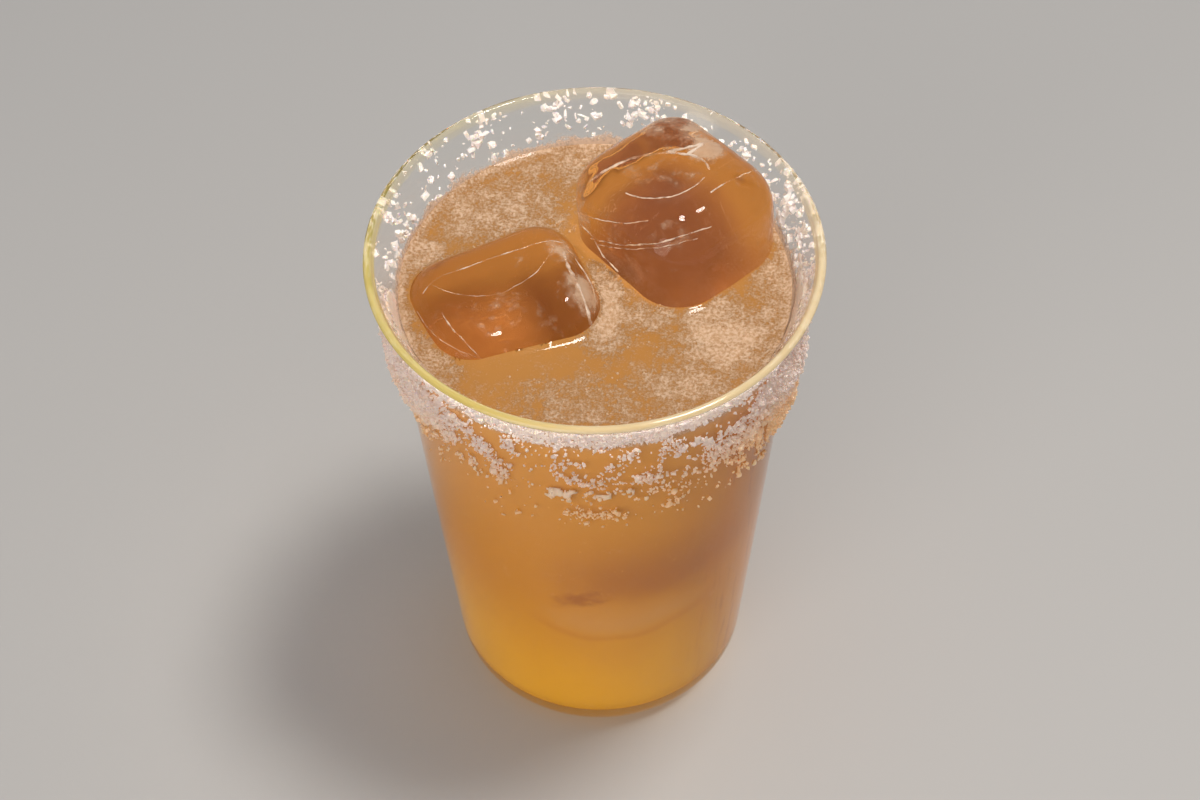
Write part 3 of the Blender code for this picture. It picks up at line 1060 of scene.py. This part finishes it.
class Weave(Nodes):
    """A Geometry Nodes tree with named inputs, and the steps that the trees share."""

    def __init__(self, name, inputs):
        super().__init__(bpy.data.node_groups.new(name, "GeometryNodeTree"))
        for side in ("INPUT", "OUTPUT"):
            self.tree.interface.new_socket("Geometry", in_out=side, socket_type="NodeSocketGeometry")
        self.identifiers = {}
        for label, (kind, value) in inputs.items():
            socket = self.tree.interface.new_socket(label, in_out="INPUT", socket_type=kind)
            socket.default_value = value
            self.identifiers[label] = socket.identifier
        self.start = self.add("NodeGroupInput")
        self.end = self.add("NodeGroupOutput")

    def input(self, label):
        return self.start.outputs[label]

    def node(self, kind, settings=None, sockets=None, output=0):
        """Adds a node of that type, and gives one of its outputs."""
        return self.add(kind, settings, sockets).outputs[output]

    def attribute(self, name):
        return self.node("GeometryNodeInputNamedAttribute", {"data_type": "FLOAT"}, {"Name": name})

    def product(self, one, other):
        return self.node("ShaderNodeMath", {"operation": "MULTIPLY"}, {0: one, 1: other})

    def scaled(self, vector, factor):
        return self.node("ShaderNodeVectorMath", {"operation": "SCALE"}, {0: vector, "Scale": factor})

    def random(self, kind, least, most, seed):
        low, high, output = RANDOM_SOCKETS[kind]
        sockets = {low: least, high: most, "Seed": seed}
        return self.node("FunctionNodeRandomValue", {"data_type": kind}, sockets, output)

    def moved(self, geometry, offset):
        return self.node("GeometryNodeSetPosition", None, {"Geometry": geometry, "Offset": offset})

    def shaken(self, geometry, size, detail, amount):
        """Moves the points by smooth noise with waves of that size."""
        wave = self.node("ShaderNodeTexNoise", None, {"Scale": 1 / size, "Detail": detail}, 1)
        centred = self.node("ShaderNodeVectorMath", {"operation": "SUBTRACT"}, {0: wave, 1: (0.5, 0.5, 0.5)})
        return self.moved(geometry, self.scaled(centred, amount))


# %% Scattering and finishing in a tree
def scattered(weave, attribute, density):
    """Points on the surface, as dense as the attribute says, and the normals there."""
    dense = weave.product(weave.attribute(attribute), density)
    sockets = {"Mesh": weave.input("Geometry"), "Density": dense, "Seed": weave.input("Seed")}
    points = weave.node("GeometryNodeDistributePointsOnFaces", {"distribute_method": "RANDOM"}, sockets)
    return points, points.node.outputs["Normal"]


def realised(weave, instances):
    return weave.node("GeometryNodeRealizeInstances", None, {"Geometry": instances})


def painted(weave, geometry, material):
    """Gives the geometry its material and sends it to the tree's output."""
    done = weave.node("GeometryNodeSetMaterial", None, {"Geometry": geometry, "Material": material})
    weave.feed(weave.end.inputs[0], done)


def grow(weave, name, base, values):
    """Runs the tree on a base mesh and keeps the plain mesh that it makes."""
    holder = new_object(name, base)
    modifier = holder.modifiers.new("weave", "NODES")
    modifier.node_group = weave.tree
    for label, value in values.items():
        modifier[weave.identifiers[label]] = value
    graph = bpy.context.evaluated_depsgraph_get()
    mesh = bpy.data.meshes.new_from_object(holder.evaluated_get(graph))
    holder.modifiers.clear()
    holder.data = mesh
    mesh.calc_loop_triangles()
    print(name, len(mesh.loop_triangles), "triangles")
    return holder


# %% [markdown]
# Salt crystals are broken cubes. Each grain is one of three simple forms with under 30 faces, turned,
# sized and flattened at random, and chipped by noise once it is real geometry. Thousands of them then
# stay light. The inputs say how dense, how large and how flat they are, so one tree makes the fine
# grains, the coarse grains and the loose flakes.

# %% The scatter of crystals
FULL_TURN = (6.3, 6.3, 6.3)
FULLEST = (1.25, 1.25, 1.25)
CHIP_SIZE = 1.1 * MM


def crystal_forms(weave):
    """A cube, a small ball and a five-sided shard, to pick from."""
    cube = weave.node("GeometryNodeMeshCube", None, {"Size": (0.8, 0.8, 0.8)})
    ball = weave.node("GeometryNodeMeshIcoSphere", None, {"Radius": 0.5, "Subdivisions": 1})
    sizes = {"Vertices": 5, "Radius": 0.45, "Depth": 0.8}
    shard = weave.node("GeometryNodeMeshCylinder", {"fill_type": "TRIANGLE_FAN"}, sizes)
    return weave.node("GeometryNodeGeometryToInstance", None, {"Geometry": [cube, ball, shard]})


def crystal_scatter(material):
    """Crystals on a surface: each one of a few simple forms, turned, sized and chipped at random."""
    inputs = {
        "Grains per square metre": (FLOAT, 2.0e6),
        "Smallest": (FLOAT, 0.5 * MM),
        "Largest": (FLOAT, 1.1 * MM),
        "Lift": (FLOAT, 0.2 * MM),
        "Chipping": (FLOAT, 0.25 * MM),
        "Flattest": (FLOAT, 0.7),
        "Seed": (WHOLE, 3),
    }
    weave = Weave("crystal_scatter", inputs)
    points, normals = scattered(weave, "density", weave.input("Grains per square metre"))
    lift = weave.random("FLOAT", 0.0, weave.input("Lift"), weave.input("Seed"))
    size = weave.random("FLOAT", weave.input("Smallest"), weave.input("Largest"), 7)
    uneven = weave.random("FLOAT_VECTOR", weave.input("Flattest"), FULLEST, 8)
    sockets = {
        "Points": weave.moved(points, weave.scaled(normals, lift)),
        "Instance": crystal_forms(weave),
        "Pick Instance": True,
        "Instance Index": weave.random("INT", 0, 2, 5),
        "Rotation": weave.random("FLOAT_VECTOR", (0, 0, 0), FULL_TURN, 6),
        "Scale": weave.scaled(uneven, size),
    }
    placed = weave.node("GeometryNodeInstanceOnPoints", None, sockets)
    chipped = weave.shaken(realised(weave, placed), CHIP_SIZE, 0.0, weave.input("Chipping"))
    painted(weave, chipped, material)
    return weave


grain_tree = crystal_scatter(salt_material)
flake_tree = crystal_scatter(flake_material)
print("nodes in the tree of the grains", len(grain_tree.tree.nodes))

# %% [markdown]
# The trees need a surface to scatter on, with the density written on its points. It is the bare wall,
# or the crust where that swells, so the grains lie on the bed that is already there. At the back the
# salt was only brushed, so single flakes lie in clumps under the lip.

# %% Salt surface
SALT_COLUMNS = 566
SALT_ROWS = 110
WALL_COLUMNS = 500
WALL_ROWS = 60
GRAIN_UNDER_RIM = 0.3 * MM


def salt_surface(arc, levels, columns, rows, density):
    """The wall, or the crust where it swells, as a grid with the density of its grains."""
    points = []
    values = []
    for azimuth in heights(*arc, columns):
        for z in heights(*levels, rows):
            out = max(0.0, crust_thickness(azimuth, z))
            points.append(on_wall(azimuth, z, min(out, RIM_RADIUS - GRAIN_UNDER_RIM - outer_radius(z))))
            values.append(density(azimuth, z))
    faces = [
        (i * rows + j, (i + 1) * rows + j, (i + 1) * rows + j + 1, i * rows + j + 1)
        for i in range(columns - 1)
        for j in range(rows - 1)
    ]
    mesh = bpy.data.meshes.new("salt_surface")
    mesh.from_pydata(points, [], faces)
    note(mesh, "density", values)
    return mesh


# %% Loose flakes
BACK_ARC = (4, 178)
RIGHT_END = 40
FLAKES_ABOVE = 109 * MM
FLAKES_ABOVE_RIGHT = 106 * MM
FLAKES_FADE = 3 * MM

# Where the flakes lie thicker: azimuth and its spread in degrees, and by how much
THICKER = [(85, 14, 0.8), (24, 16, 0.7)]


def loose_density(azimuth, z):
    """Single flakes, clumped round the back under the lip."""
    if not BACK_ARC[0] < azimuth < BACK_ARC[1]:
        return 0.0
    at = on_wall(azimuth, z)
    clump = 0.5 + 0.9 * noise.noise(at / (6 * MM)) + 0.5 * noise.noise(at / (2.5 * MM))
    thick = 1.0
    for middle, spread, more in THICKER:
        thick += more * math.exp(-(((azimuth - middle) / spread) ** 2))
    lowest = FLAKES_ABOVE if azimuth > RIGHT_END else FLAKES_ABOVE_RIGHT
    return thick * max(0.0, min(1.0, (z - lowest) / FLAKES_FADE)) * max(0.0, clump)


print("flakes at the back", round(loose_density(85, 114 * MM), 2))


# %% Keeping grains inside the outline
def hold_inside(obj, widest, highest):
    """Presses any point that sticks out of the model's outline back to it."""
    count = len(obj.data.vertices)
    places = np.empty(count * 3, np.float32)
    obj.data.vertices.foreach_get("co", places)
    places = places.reshape(-1, 3)
    radius = np.maximum(np.hypot(places[:, 0], places[:, 1]), 1e-6)
    places[:, :2] *= np.minimum(1.0, widest / radius)[:, None]
    places[:, 2] = np.minimum(places[:, 2], highest)
    obj.data.vertices.foreach_set("co", places.ravel())
    obj.data.update()


# %% The grains
fine_grains = grow(
    grain_tree,
    "salt_fine_grains",
    salt_surface(SALT_ARC, (79 * MM, 119.0 * MM), SALT_COLUMNS, SALT_ROWS, grain_density),
    {
        "Grains per square metre": 4.5e6,
        "Smallest": 0.3 * MM,
        "Largest": 0.72 * MM,
        "Chipping": 0.4 * MM,
        "Flattest": 0.4,
        "Seed": 3,
    },
)
coarse_grains = grow(
    grain_tree,
    "salt_coarse_grains",
    salt_surface(SALT_ARC, (79 * MM, 118.2 * MM), SALT_COLUMNS, SALT_ROWS, grain_density),
    {
        "Grains per square metre": 0.5e6,
        "Smallest": 0.6 * MM,
        "Largest": 1.35 * MM,
        "Lift": 0.35 * MM,
        "Chipping": 0.6 * MM,
        "Flattest": 0.35,
        "Seed": 5,
    },
)
loose_grains = grow(
    flake_tree,
    "salt_loose_grains",
    salt_surface((0, 360), (84 * MM, 119.8 * MM), WALL_COLUMNS, WALL_ROWS, loose_density),
    {
        "Grains per square metre": 0.55e6,
        "Smallest": 0.4 * MM,
        "Largest": 2.0 * MM,
        "Lift": 0.1 * MM,
        "Chipping": 0.8 * MM,
        "Flattest": 0.25,
        "Seed": 11,
    },
)
for piece in (fine_grains, coarse_grains, loose_grains):
    hold_inside(piece, RIM_RADIUS - 0.03 * MM, GLASS_HEIGHT)

# %% [markdown]
# ## Veins and painted glints in the ice
#
# Cracks and threads of air show in the ice as pale lines, and painted highlights lie as pale lines
# along its melted edges, ridges and rings. Each is a path of a few places on the cube. One tree makes
# them all: it makes the path a curve, shakes it, and draws a thin uneven tube along it, half sunk in the ice.

# %% Paths of the veins
# The thickness in mm and the places in mm, to the nearest one: the script moves them onto the ice
# Some paths are cracks and threads of air in the ice, and the rest are painted highlights on its rings, ridges and
# edges.
VEINS_AND_GLINTS = {
    "ice_cube_right": {
        "ring behind": (
            0.32,
            [(-1, 13, 126), (3, 14, 128), (8, 17, 128), (13, 18, 128), (18, 17, 129)]
            + [(21, 15, 129), (22, 12, 130)],
        ),
        "ring in front": (0.18, [(6, 8, 128), (10, 6, 128), (15, 6, 129), (19, 8, 129), (21, 10, 130)]),
        "smear": (0.45, [(18, 17, 129), (21, 19, 129), (23, 21, 128)]),
        "far smear": (0.38, [(14, 18, 128), (20, 19, 129), (23, 21, 128)]),
        "right edge": (0.22, [(22, 6, 130), (26, 9, 130), (31, 14, 127)]),
        "front ridge": (0.11, [(-3, 11, 119), (1, 7, 122), (6, 3, 125), (10, 1, 128)]),
        "low ridge": (0.17, [(-1, 8, 115), (5, 1, 121), (12, -3, 126), (17, -2, 127), (22, 0, 127)]),
        "low thread": (0.1, [(1, 7, 115), (6, 0, 121), (13, -4, 126), (19, -2, 126)]),
        "left side": (0.2, [(-3, 11, 116), (-1, 8, 116), (2, 6, 113), (4, 2, 112)]),
    },
    "ice_cube_left": {
        "back edge": (
            0.13,
            [(-33, -4, 114), (-30, -2, 116), (-22, 2, 116), (-15, 4, 117), (-9, 5, 118), (-5, 6, 118)],
        ),
        "right ridge": (0.45, [(-6, 3, 117), (-5, 0, 117), (-3, -5, 116), (-2, -8, 114), (-1, -10, 111)]),
        "right thread": (0.2, [(-3, 3, 116), (-1, -2, 113), (0, -8, 112)]),
        "hollow": (
            0.09,
            [(-31, -3, 115), (-26, -5, 114), (-20, -5, 114), (-16, -4, 115), (-11, -1, 116), (-8, 3, 118)],
        ),
        "crack": (
            0.18,
            [(-29, -9, 114), (-27, -12, 113), (-25, -15, 113), (-23, -17, 112), (-21, -18, 110)],
        ),
        "left edge": (0.08, [(-34, -6, 111), (-31, -11, 111), (-27, -16, 112), (-22, -18, 111)]),
    },
}
print(sum(len(paths) for paths in VEINS_AND_GLINTS.values()), "veins_and_glints")


# %% Veins on the ice
def vein_and_glint_paths(cube):
    """All the paths of one cube as a mesh of edges, with the thickness of each as an attribute."""
    points = []
    edges = []
    widths = []
    graph = bpy.context.evaluated_depsgraph_get()
    for thickness, places in VEINS_AND_GLINTS[cube].values():
        start = len(points)
        for place in places:
            found = ice_pieces[cube].closest_point_on_mesh(Vector(place) * MM, depsgraph=graph)
            points.append(found[1])
        edges += [(start + i, start + i + 1) for i in range(len(places) - 1)]
        widths += [thickness * MM] * len(places)
    mesh = bpy.data.meshes.new("vein_and_glint_paths")
    mesh.from_pydata(points, edges, [])
    note(mesh, "width", widths)
    return mesh


# %% Vein tree
TUBE_SIDES = 6
SHAKE_SIZE = 2.2 * MM
SWELL_SIZE = 1.6 * MM


def vein_and_glint_tree(material):
    """A smooth, shaken curve through the places, with a thin tube along it that swells and narrows."""
    weave = Weave("vein", {"Step": (FLOAT, 0.5 * MM), "Shake": (FLOAT, 0.5 * MM), "Thickness": (FLOAT, 1.0)})
    path = weave.node("GeometryNodeMeshToCurve", None, {"Mesh": weave.input("Geometry")})
    smooth = weave.node("GeometryNodeCurveSplineType", {"spline_type": "CATMULL_ROM"}, {"Curve": path})
    sockets = {"Curve": smooth, "Length": weave.input("Step")}
    fine = weave.node("GeometryNodeResampleCurve", {"mode": "LENGTH"}, sockets)
    shaken = weave.shaken(fine, SHAKE_SIZE, 3.0, weave.input("Shake"))
    swell = weave.node("ShaderNodeTexNoise", None, {"Scale": 1 / SWELL_SIZE, "Detail": 2.0})
    limits = {"Value": swell, "From Min": 0.35, "From Max": 0.7, "To Min": 0.4}
    uneven = weave.node("ShaderNodeMapRange", None, limits)
    width = weave.product(weave.product(uneven, weave.attribute("width")), weave.input("Thickness"))
    ring = weave.node("GeometryNodeCurvePrimitiveCircle", None, {"Resolution": TUBE_SIDES, "Radius": 1.0})
    sockets = {"Curve": shaken, "Profile Curve": ring, "Scale": width, "Fill Caps": True}
    tube = weave.node("GeometryNodeCurveToMesh", None, sockets)
    painted(weave, realised(weave, tube), material)
    return weave


# %% Vein finish, with painted sheen
FROST_AND_SHEEN_DARK = (0.72, 0.50, 0.34, 1)
FROST_AND_SHEEN_WHITE = (0.95, 0.82, 0.70, 1)


def frost_and_sheen_finish():
    """Milky white frost and a painted sheen, which come and go along the line."""
    frost = Recipe("frost", {"Roughness": 0.3, "IOR": 1.31})
    comes = frost.noise(3.2 * MM, detail=4.0)
    opaque = frost.ramp(comes, 0.36, 0.66) * 0.75 + 0.06
    return frost.finish(base_color=frost.blend(comes, FROST_AND_SHEEN_DARK, FROST_AND_SHEEN_WHITE), alpha=opaque)


draw_veins_and_glints = vein_and_glint_tree(frost_and_sheen_finish())
veins_and_glints = {}
for cube in ICE_CUBES:
    veins_and_glints[cube] = grow(draw_veins_and_glints, "veins_and_glints_of_" + cube, vein_and_glint_paths(cube), {"Thickness": 1.1})

# %% [markdown]
# ## Froth on the wall, and bubbles
#
# Froth clings to the glass a little above the drink, as a film too thin for a solid. It is a band on
# the inner wall whose alpha comes from noise, so that it ends in a ragged edge. A band cut along a
# ragged line would do too, but its edge would be hard.

# %% Froth film
FILM_THICKNESS = 0.12 * MM
FILM_LEVELS = (DRINK_LEVEL - 0.5 * MM, DRINK_LEVEL + 6.0 * MM)
FILM_STEPS = 10
FILM_IN_WALL = 0.02 * MM
FILM_DARK = (0.62, 0.40, 0.26, 1)
FILM_PALE = (0.88, 0.70, 0.56, 1)


def film_shape():
    """A thin closed band on the inner wall."""
    levels = heights(*FILM_LEVELS, FILM_STEPS)
    section = [(inner_radius(z) - FILM_THICKNESS, z) for z in levels]
    section += [(inner_radius(z) + FILM_IN_WALL, z) for z in reversed(levels)]
    faces = []
    for i in range(len(section)):
        a = i * DRINK_SIDES
        b = (i + 1) % len(section) * DRINK_SIDES
        for k in range(DRINK_SIDES):
            m = (k + 1) % DRINK_SIDES
            faces.append((a + k, b + k, b + m, a + m))
    mesh = bpy.data.meshes.new("froth_film")
    mesh.from_pydata(turned_points(section, DRINK_SIDES), [], faces)
    mesh.shade_smooth()
    return mesh


def film_finish():
    """Pale froth with holes, thinning out upwards to a ragged edge."""
    froth = Recipe("froth_film", {"Roughness": 0.5})
    above = froth.axis("Z") - DRINK_LEVEL
    reach = froth.noise(5 * MM) * (5.0 * MM)
    flecks = froth.noise(0.8 * MM, detail=5.0, roughness=0.7)
    near = froth.ramp(above - reach, 1.2 * MM, -2.4 * MM)
    cover = froth.ramp(near + (flecks - 0.5) * 1.6, 0.25, 0.9)
    return froth.finish(base_color=froth.blend(flecks, FILM_DARK, FILM_PALE), alpha=cover * 0.85)


film = new_object("froth_film", film_shape())
film.data.materials.append(film_finish())
print("froth film", len(film.data.polygons), "faces")

# %% [markdown]
# The largest bubbles of the froth show one by one. Each is a small ball half sunk in the surface, and
# the tree scatters them by the same attribute that the froth's finish reads, so they lie in it. They
# are opaque with a clear coat, because clear balls this small would only look like dark dots.

# %% Bubbles
BUBBLE_DARK = (0.58, 0.33, 0.16, 1)
BUBBLE_PALE = (0.74, 0.52, 0.34, 1)


def bubble_scatter(material):
    """Small domes on the drink, where its froth lies."""
    inputs = {
        "Bubbles per square metre": (FLOAT, 0.4e6),
        "Smallest": (FLOAT, 0.12 * MM),
        "Largest": (FLOAT, 0.45 * MM),
        "Seed": (WHOLE, 4),
    }
    weave = Weave("bubble_scatter", inputs)
    points, normals = scattered(weave, "froth", weave.input("Bubbles per square metre"))
    dome = weave.node("GeometryNodeMeshIcoSphere", None, {"Radius": 1.0, "Subdivisions": 2})
    size = weave.random("FLOAT", weave.input("Smallest"), weave.input("Largest"), 9)
    sockets = {"Points": points, "Instance": dome, "Scale": size}
    placed = weave.node("GeometryNodeInstanceOnPoints", None, sockets)
    painted(weave, realised(weave, placed), material)
    return weave


def bubble_finish():
    bubble = Recipe("bubble", {"Roughness": 0.1, "Coat Weight": 1.0})
    return bubble.finish(base_color=bubble.blend(bubble.noise(3 * MM), BUBBLE_DARK, BUBBLE_PALE))


bubbles = grow(
    bubble_scatter(bubble_finish()),
    "bubbles",
    drink_body.data.copy(),
    {"Bubbles per square metre": 0.22e6, "Largest": 0.32 * MM},
)

# %% [markdown]
# ## Bodies, slots and what each piece stands for
#
# Nothing here moves, so every piece rides on the one body. Each piece says which solid it stands for.

DECLARED = [
    (tumbler, "glass", "glass"),
    (bed, "glass", "glass"),
    (fine_grains, "glass", "glass"),
    (coarse_grains, "glass", "glass"),
    (loose_grains, "glass", "glass"),
    (drink_body, "drink", "drink"),
    (film, "drink", "drink"),
    (bubbles, "drink", "drink"),
    (veins_and_glints["ice_cube_right"], "ice_cube_right", "ice"),
    (veins_and_glints["ice_cube_left"], "ice_cube_left", "ice"),
    (ice_pieces["ice_cube_right"], "ice_cube_right", "ice"),
    (ice_pieces["ice_cube_left"], "ice_cube_left", "ice"),
]
for piece, node, slot in DECLARED:
    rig.ride(piece, "root")
    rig.replaces(piece, node)
    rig.slot(piece, slot)
print(len(DECLARED), "pieces")

# %% [markdown]
# ## The studio
#
# A plain pale floor, one soft key light high at the right and behind, which gives the small glints on
# the wet edges, and a wide fill from the front left.

# %% Floor
FLOOR_SIZE = 3.0
FLOOR_TONES = [(0.50, 0.49, 0.48, 1), (0.54, 0.53, 0.52, 1)]


def pale_floor():
    bm = bmesh.new()
    bmesh.ops.create_grid(bm, x_segments=1, y_segments=1, size=FLOOR_SIZE / 2)
    mesh = mesh_from("floor", bm)
    recipe = Recipe("floor", {"Roughness": 0.6})
    mesh.materials.append(recipe.finish(base_color=recipe.blend(recipe.noise(0.4), *FLOOR_TONES)))
    return new_object("floor", mesh)


floor = pale_floor()
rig.stage(floor)
print("floor", FLOOR_SIZE, "m")


# %% Lights
WARM_WHITE = (1.0, 0.96, 0.90)
LIGHTS_AIM = Vector((0, 0, 0.08))
SKY_COLOUR = (0.80, 0.80, 0.82, 1)
SKY_STRENGTH = 0.40


def soft_light(name, place, size, power):
    """A round lamp that points at the drink."""
    data = bpy.data.lights.new(name, "AREA")
    data.shape = "DISK"
    data.size = size
    data.energy = power
    data.color = WARM_WHITE
    light = new_object(name, data)
    light.location = place
    light.rotation_euler = (LIGHTS_AIM - Vector(place)).to_track_quat("-Z", "Y").to_euler()
    return light


def even_sky():
    world = bpy.data.worlds.new("studio")
    world.use_nodes = True
    sky = world.node_tree.nodes["Background"]
    sky.inputs["Color"].default_value = SKY_COLOUR
    sky.inputs["Strength"].default_value = SKY_STRENGTH
    bpy.context.scene.world = world


lights = [
    soft_light("key", (0.20, 0.03, 0.80), 0.18, 3.6),
    soft_light("fill", (-0.45, -0.85, 0.40), 0.8, 4.5),
]
even_sky()
print("lights", [light.name for light in lights])

# %% [markdown]
# ## The camera
#
# The picture was taken from 51 degrees above the table, with a longish lens. Fitting the outline of the
# glass gave the distance, and the whole frame leans by just under a degree.

# %% Camera
CAMERA_HEIGHT_ANGLE = math.radians(50.92)
CAMERA_DISTANCE = 571 * MM
CAMERA_AIM = Vector((0.6, 0.0, 75.9)) * MM
CAMERA_LENS = 85.0
SENSOR_WIDTH = 36.0
CAMERA_ROLL = math.radians(-0.9)


def photo_camera():
    """A camera that looks down at the drink, leaning as the photo does."""
    data = bpy.data.cameras.new("camera")
    data.lens = CAMERA_LENS
    data.sensor_width = SENSOR_WIDTH
    camera = new_object("camera", data)
    back = Vector((0, -math.cos(CAMERA_HEIGHT_ANGLE), math.sin(CAMERA_HEIGHT_ANGLE)))
    camera.location = CAMERA_AIM + back * CAMERA_DISTANCE
    level = (-back).to_track_quat("-Z", "Y").to_matrix()
    camera.rotation_euler = (level @ Matrix.Rotation(CAMERA_ROLL, 3, "Z")).to_euler()
    bpy.context.scene.camera = camera
    return camera


camera = photo_camera()
print("camera at", [round(part, 3) for part in camera.location], "m")

# %% [markdown]
# ## Sizes and finish
#
# Both boxes go into one file, so that the dressed drink can be compared with its solids.

# %% Sizes and finish
with open("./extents.json", "w") as sizes:
    json.dump({"cad": cad_box, "visual": [list(corner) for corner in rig.bounds()]}, sizes)
print(json.load(open("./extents.json")))
